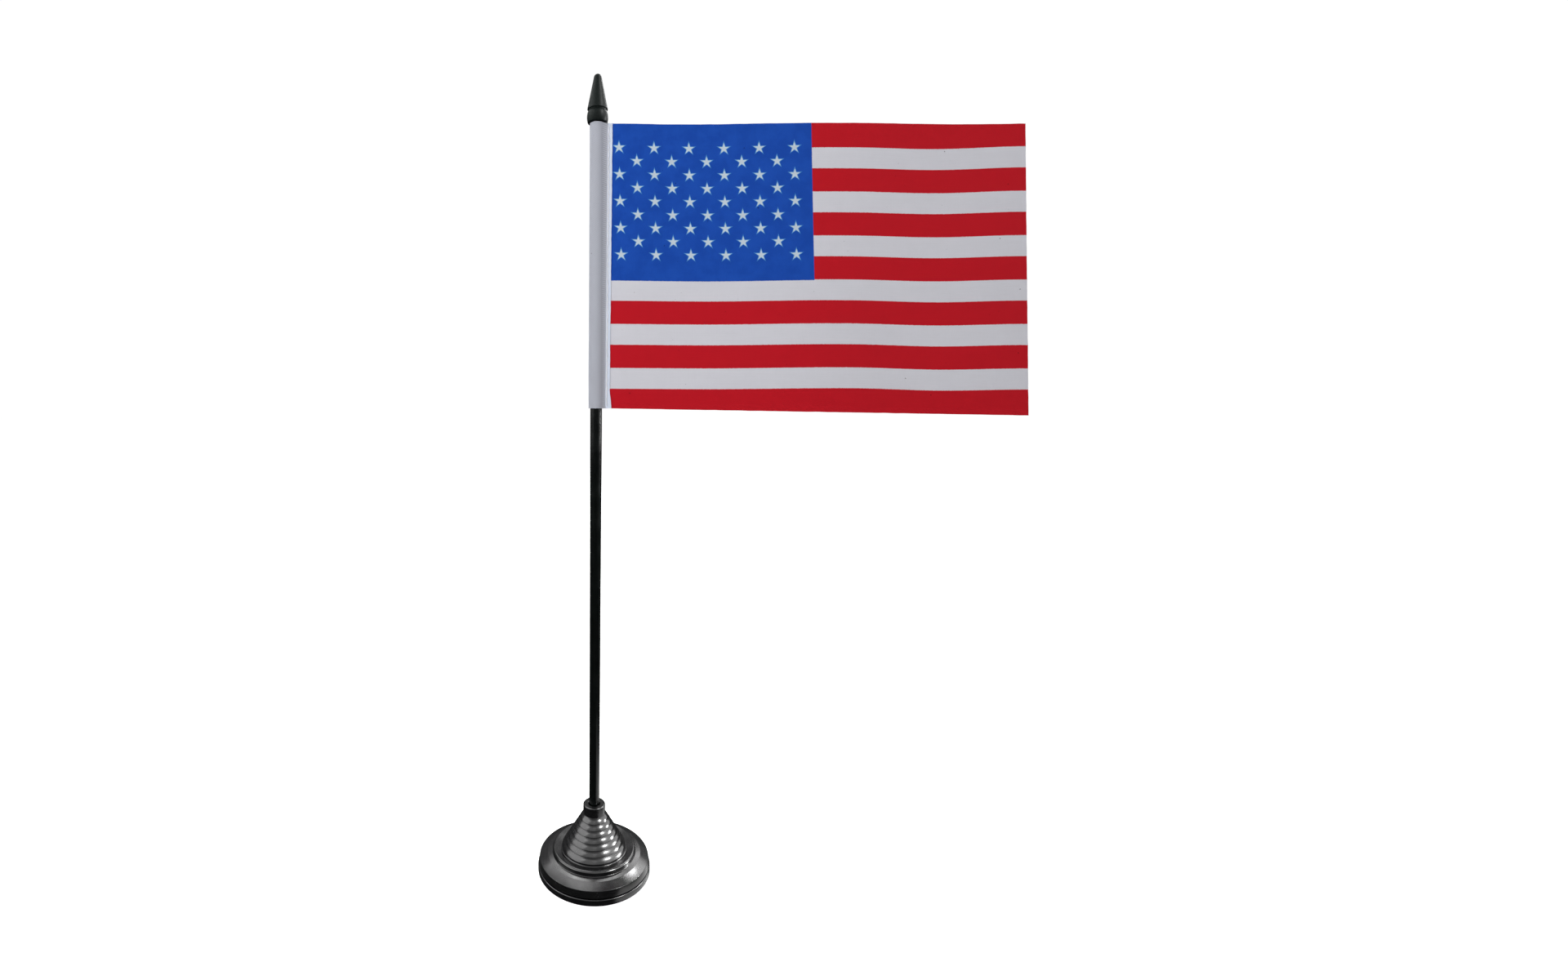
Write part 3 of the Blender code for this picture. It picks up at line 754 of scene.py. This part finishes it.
def star_depth(graph, x, drop, first_x, first_drop, columns, rows):
    """Depth inside the nearest star of a lattice, in millimetres; below 0 it is outside."""
    axes = [(x, first_x, 1000.0 * STAR_PITCH_X, columns)]
    axes += [(drop, first_drop, 2000.0 * STAR_PITCH_DROP, rows)]
    offsets = []
    for value, first, pitch, count in axes:
        away = graph.minus(value, first)
        index = graph.clamped(graph.maths("ROUND", graph.maths("DIVIDE", away, pitch)), 0.0, count - 1.0)
        offsets.append(graph.minus(away, graph.times(index, pitch)))
    side, down = offsets
    up = graph.times(down, -1.0)

    # Fold the five arms onto half of one, whose edge is a straight line from tip to valley.
    wedge = math.tau / 10.0
    folded = graph.maths("ABSOLUTE", graph.around_zero(graph.maths("ARCTAN2", side, up), 2.0 * wedge))
    length = graph.length(side, up)
    along = graph.times(length, graph.maths("COSINE", folded))
    across = graph.times(length, graph.maths("SINE", folded))
    tip = 1000.0 * STAR_RADIUS
    valley = tip * math.sin(0.5 * wedge) / math.sin(1.5 * wedge)
    valley_along, valley_across = valley * math.cos(wedge), valley * math.sin(wedge)
    edge = math.hypot(tip - valley_along, valley_across)
    inside = graph.times(graph.minus(tip, along), valley_across / edge)
    return graph.minus(inside, graph.times(across, (tip - valley_along) / edge))


def flag_print(graph, x, drop, patches):
    """The print's colour on the flat cloth, where x and drop are in millimetres."""
    bleed = graph.minus(graph.noise(graph.combined(x, drop, 0.0), 2.6, 2.0), 0.5)
    inked_x = graph.plus(x, graph.times(bleed, 0.22))
    inked_drop = graph.plus(drop, graph.times(bleed, 0.30))

    pitch, half_red = 1000.0 * STRIPE_PITCH, 500.0 * RED_WIDTH
    middle = 1000.0 * STRIPE_START + half_red
    striped_drop = graph.clamped(inked_drop, middle, middle + STRIPE_PAIRS * pitch)
    from_middle = graph.maths("ABSOLUTE", graph.around_zero(graph.minus(striped_drop, middle), pitch))
    reds = graph.step(from_middle, half_red - 0.16, half_red + 0.16, 1.0, 0.0)

    reach, depth = 1000.0 * CANTON_REACH, 1000.0 * CANTON_DROP
    canton_wide = graph.step(inked_x, reach - 0.14, reach + 0.14, 1.0, 0.0)
    canton_high = graph.step(inked_drop, depth - 0.14, depth + 0.14, 1.0, 0.0)
    canton = graph.times(canton_wide, canton_high)

    # Six stars and five stars take turns, the fives half a pitch along and half a pitch down.
    first_x, first_drop = 1000.0 * STAR_FIRST_X, 1000.0 * STAR_FIRST_DROP
    next_x, next_drop = first_x + 500.0 * STAR_PITCH_X, first_drop + 1000.0 * STAR_PITCH_DROP
    sixes = star_depth(graph, x, drop, first_x, first_drop, 6, 5)
    fives = star_depth(graph, x, drop, next_x, next_drop, 5, 4)
    starry = graph.plus(graph.maths("MAXIMUM", sixes, fives), graph.times(bleed, 0.22))
    sky = graph.mix(graph.step(patches, 0.35, 0.65), INK_BLUE, INK_BLUE_DEEP)
    sky = graph.mix(graph.step(starry, -0.38, -0.02), sky, STAR_HALO)
    sky = graph.mix(graph.step(starry, -0.15, 0.12), sky, STAR_WHITE)
    return graph.mix(canton, graph.mix(reds, CLOTH_WHITE, INK_RED), sky)


def printed_cloth(name, fade):
    """Printed polyester: inked field, plain sleeve and hem, and the diagonal rib of the weave."""
    graph = Graph(name)
    mapped = graph.tree.nodes.new("ShaderNodeUVMap")
    mapped.uv_map = "print"
    flat = graph.scaled(mapped.outputs[0], (1000.0 * UV_UNIT,) * 3)
    x, drop, _ = graph.split(flat)
    patches = graph.noise(flat, 0.16, 4.0, 0.6)
    tone = flag_print(graph, x, drop, patches)

    # The sleeve and the hem show the cloth's unprinted back; the sleeve's grey is painted shade over the
    # black staff, and the hem is a brighter, bluer white.
    along = graph.plus(x, graph.times(drop, PRINT_SHEAR))
    start, seam, sleeve_end = 1000.0 * PRINT_START, 1000.0 * SEAM_ALONG, 1000.0 * SLEEVE_END
    printed = graph.step(along, start - 0.1, start + 0.1)
    hemmed = graph.step(along, seam + 0.1, seam + 0.5, 1.0, 0.0)
    sleeve = graph.minus(graph.step(along, sleeve_end, sleeve_end + 0.8, 1.0, 0.0), hemmed)
    plain = graph.mix(hemmed, graph.mix(sleeve, CLOTH_WHITE, SLEEVE_PAINTED_SHADE), HEM_WHITE)
    tone = graph.mix(printed, plain, tone)
    if fade > 0.0:
        tone = graph.mix(graph.times(printed, fade), tone, CLOTH_WHITE)

    # The rib of the weave, seen best where the cloth is white and pulled tight: its relief goes in the
    # bump, and its light and shade are painted into the colour as lighter and darker diagonal lines.
    rib_phase = graph.times(graph.plus(graph.times(x, RIB_LEAN), drop), math.tau / RIB_PITCH)
    cross_phase = graph.times(graph.minus(drop, graph.times(x, CROSS_LEAN)), math.tau / CROSS_PITCH)
    rib = graph.times(graph.maths("SINE", rib_phase), 0.7)
    weave = graph.plus(rib, graph.times(graph.maths("SINE", cross_phase), 0.3))
    rib_shading = graph.plus(graph.times(graph.minus(1.0, printed), RIB_SHADING_ON_PLAIN), RIB_SHADING_ON_PRINT)
    shade = graph.plus(1.0, graph.times(weave, rib_shading))

    # Uneven ink, faint lines along both sets of threads, and a few dark specks.
    weft = graph.noise(graph.scaled(flat, (0.10, 2.6, 1.0)), 1.0, 3.0, 0.7)
    warp = graph.noise(graph.scaled(flat, (2.2, 0.12, 1.0)), 1.0, 3.0, 0.7)
    for texture, amount in ((patches, 0.05), (weft, 0.07), (warp, 0.04)):
        shade = graph.plus(shade, graph.times(graph.minus(texture, 0.5), amount))
    specks = graph.step(graph.noise(flat, 0.9, 0.0), 0.865, 0.90, 1.0, 0.45)
    shade = graph.times(shade, specks)
    tone = graph.mix(1.0, tone, graph.combined(shade, shade, shade), "MULTIPLY")

    normal = graph.bump(graph.plus(weave, graph.times(weft, 1.2)), WEAVE_RELIEF)
    graph.set(Base_Color=tone, Roughness=0.88, Specular_IOR_Level=0.02, Normal=normal)
    return graph.material


def sewing_thread(name, colour):
    """Spun polyester thread with fine fibres along its plies."""
    graph = Graph(name)
    place = graph.object_place()
    fibres = graph.noise(graph.scaled(place, (14000.0, 14000.0, 3500.0)), 1.0, 2.0)
    tone = graph.mix(graph.step(fibres, 0.3, 0.7), tuple(0.86 * part for part in colour), colour)
    graph.set(Base_Color=tone, Roughness=0.55, Specular_IOR_Level=0.4, Sheen_Weight=0.2)
    graph.set(Normal=graph.bump(fibres, 0.00001))
    return graph.material


# ------------------------------------------------------------------ stage, light and camera

def make_stage():
    """A plain white floor that lies level with the foot's underside."""
    half = FLOOR_HALF
    mesh = bpy.data.meshes.new("floor")
    corners = [(-half, -half, 0.0), (half, -half, 0.0), (half, half, 0.0), (-half, half, 0.0)]
    mesh.from_pydata(corners, [], [(0, 1, 2, 3)])
    floor = bpy.data.objects.new("floor", mesh)
    bpy.context.scene.collection.objects.link(floor)
    floor.location.z = cad_low.z
    floor.visible_glossy = False
    floor.visible_diffuse = False
    graph = Graph("floor_white")
    graph.set(Base_Color=FLOOR_WHITE, Roughness=0.9, Specular_IOR_Level=0.1)
    graph.set(Emission_Color=(1.0, 1.0, 1.0), Emission_Strength=FLOOR_GLOW)
    mesh.materials.append(graph.material)


def make_world():
    """White where the camera looks past the stand, soft on the cloth and dark in the gloss."""
    world = bpy.data.worlds.new("studio")
    bpy.context.scene.world = world
    world.use_nodes = True
    tree = world.node_tree
    background = tree.nodes["Background"]
    background.inputs["Color"].default_value = (1.0, 1.0, 1.0, 1.0)
    rays = tree.nodes.new("ShaderNodeLightPath")
    direction = tree.nodes.new("ShaderNodeTexCoord").outputs["Generated"]
    height = tree.nodes.new("ShaderNodeSeparateXYZ")
    tree.links.new(direction, height.inputs[0])
    sky = tree.nodes.new("ShaderNodeMapRange")
    for socket, value in zip(sky.inputs[1:], (*SKY_HEIGHTS, *SKY_STRENGTHS)):
        socket.default_value = value
    tree.links.new(height.outputs["Z"], sky.inputs[0])
    soft = tree.nodes.new("ShaderNodeMix")
    soft.inputs[2].default_value = GLOSS_STRENGTH
    tree.links.new(rays.outputs["Is Glossy Ray"], soft.inputs[0])
    tree.links.new(sky.outputs[0], soft.inputs[3])
    seen = tree.nodes.new("ShaderNodeMix")
    seen.inputs[3].default_value = BACKDROP_STRENGTH
    tree.links.new(rays.outputs["Is Camera Ray"], seen.inputs[0])
    tree.links.new(soft.outputs[0], seen.inputs[2])
    tree.links.new(seen.outputs[0], background.inputs["Strength"])


def make_light(name, place, aim, size, radiance, seen_in_gloss, shape="RECTANGLE"):
    """A flat lamp that faces a point; it shows only in the gloss or lights only the matt cloth."""
    data = bpy.data.lights.new(name, "AREA")
    data.shape = shape
    data.size, data.size_y = size
    data.energy = 4.0 * radiance * size[0] * size[1]
    light = bpy.data.objects.new(name, data)
    bpy.context.scene.collection.objects.link(light)
    light.location = place
    light.rotation_euler = (Vector(aim) - Vector(place)).to_track_quat("-Z", "Y").to_euler()
    light.visible_camera = False
    light.visible_diffuse = not seen_in_gloss
    light.visible_glossy = seen_in_gloss


def make_gloss_panel(name, azimuth, elevation, spread, radiance, shape="RECTANGLE"):
    """A far panel that only the gloss shows; degrees round from the front towards +X, and up."""
    turn, lift = math.radians(azimuth), math.radians(elevation)
    towards = Vector((math.sin(turn) * math.cos(lift), -math.cos(turn) * math.cos(lift), math.sin(lift)))
    size = [2.0 * PANEL_DISTANCE * math.tan(math.radians(half)) for half in spread]
    make_light(name, PANEL_DISTANCE * towards, FOOT_AIM, size, radiance, True, shape)


def make_lights():
    make_light("window_left", (-0.16, -0.36, 0.30), FLAG_AIM, (0.36, 0.34), 2.05, False)
    make_light("fill_front", (0.08, -0.62, 0.25), FLAG_AIM, (0.30, 0.26), 0.8, False)
    make_light("ceiling", (-0.34, 0.50, 0.80), FOOT_AIM, (0.90, 0.90), 3.2, False)
    make_gloss_panel("screen_left", -76, 32, (28, 24), 3.4)
    make_gloss_panel("screen_front_left", -22, 36, (24, 20), 1.2)
    make_gloss_panel("screen_front_right", 26, 36, (22, 20), 0.8)
    make_gloss_panel("screen_right", 88, 28, (40, 22), 2.7)
    make_gloss_panel("panel_back_left", -149, 62, (11, 24), 3.4)
    make_gloss_panel("panel_back_right", 150, 38, (13, 8), 4.0)
    make_gloss_panel("strip_back", 177, 55, (13, 3.5), 6.0)
    make_gloss_panel("lamp_near", 56, 44, (6.5, 6.5), 60.0, "ELLIPSE")
    make_gloss_panel("lamp_far", 94, 12, (6, 6), 60.0, "ELLIPSE")
    make_gloss_panel("lamp_back", 137, 50, (4, 6), 24.0, "ELLIPSE")
    make_light("table_right", (0.12, 0.0, -0.075), FOOT_AIM, (0.24, 0.065), 1.2, True)


def make_camera():
    data = bpy.data.cameras.new("view")
    data.sensor_width = 36.0
    data.lens = CAMERA_LENS
    data.shift_x = CAMERA_SHIFT_X
    data.shift_y = CAMERA_SHIFT_Y
    data.clip_start = 0.01
    camera = bpy.data.objects.new("view", data)
    bpy.context.scene.collection.objects.link(camera)
    camera.location = CAMERA_PLACE
    camera.rotation_euler = (math.radians(90.0), CAMERA_ROLL, 0.0)
    bpy.context.scene.camera = camera
    bpy.context.scene.view_settings.view_transform = "Standard"


# ------------------------------------------------------------------ the stand

def dress(piece, material, body, node):
    """Give a piece its material and slot, and let it stand for its CAD node on its body."""
    piece.data.materials.clear()
    piece.data.materials.append(material)
    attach(piece, body)
    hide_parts(node)


make_camera()
make_world()
make_lights()
make_stage()

foot_black = moulded_plastic("foot_black", (0.0040, 0.0040, 0.0045), (0.010, 0.010, 0.011),
                             gloss=0.15, dull=0.25, grain_depth=0.0000016, specular=0.5)
cover_black = moulded_plastic("cover_black", (0.0035, 0.0035, 0.0042), (0.008, 0.008, 0.009),
                              gloss=0.15, dull=0.25, grain_depth=0.0000016, specular=0.5)
staff_black = moulded_plastic("staff_black", (0.0018, 0.0030, 0.0028), (0.004, 0.006, 0.006),
                              gloss=0.16, dull=0.24, grain_depth=0.0000030, specular=0.26)
tip_black = moulded_plastic("tip_black", (0.0075, 0.0110, 0.0100), (0.011, 0.015, 0.014),
                            gloss=0.34, dull=0.46, grain_depth=0.0000040, specular=0.06)

dress(make_base_shell(), foot_black, "foot", "base_shell")
dress(make_base_plate(), cover_black, "foot", "base_plate")
dress(make_pole(), staff_black, "staff", "pole")
dress(make_finial(), tip_black, "tip", "finial")
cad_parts["base_weight"].material_slots[0].material = plated_steel("zinc_plated_steel")

needle_thread = make_thread("needle_stitches", -1.0)
needle_white = sewing_thread("needle_white", (0.96, 0.97, 1.0))
dress(needle_thread, needle_white, "flag", "needle_thread")
bobbin_thread = make_thread("bobbin_stitches", 1.0)
bobbin_white = sewing_thread("bobbin_white", (0.78, 0.80, 0.85))
dress(bobbin_thread, bobbin_white, "flag", "bobbin_thread")

flag = make_flag()
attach(flag, "flag")
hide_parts("flag_cloth")
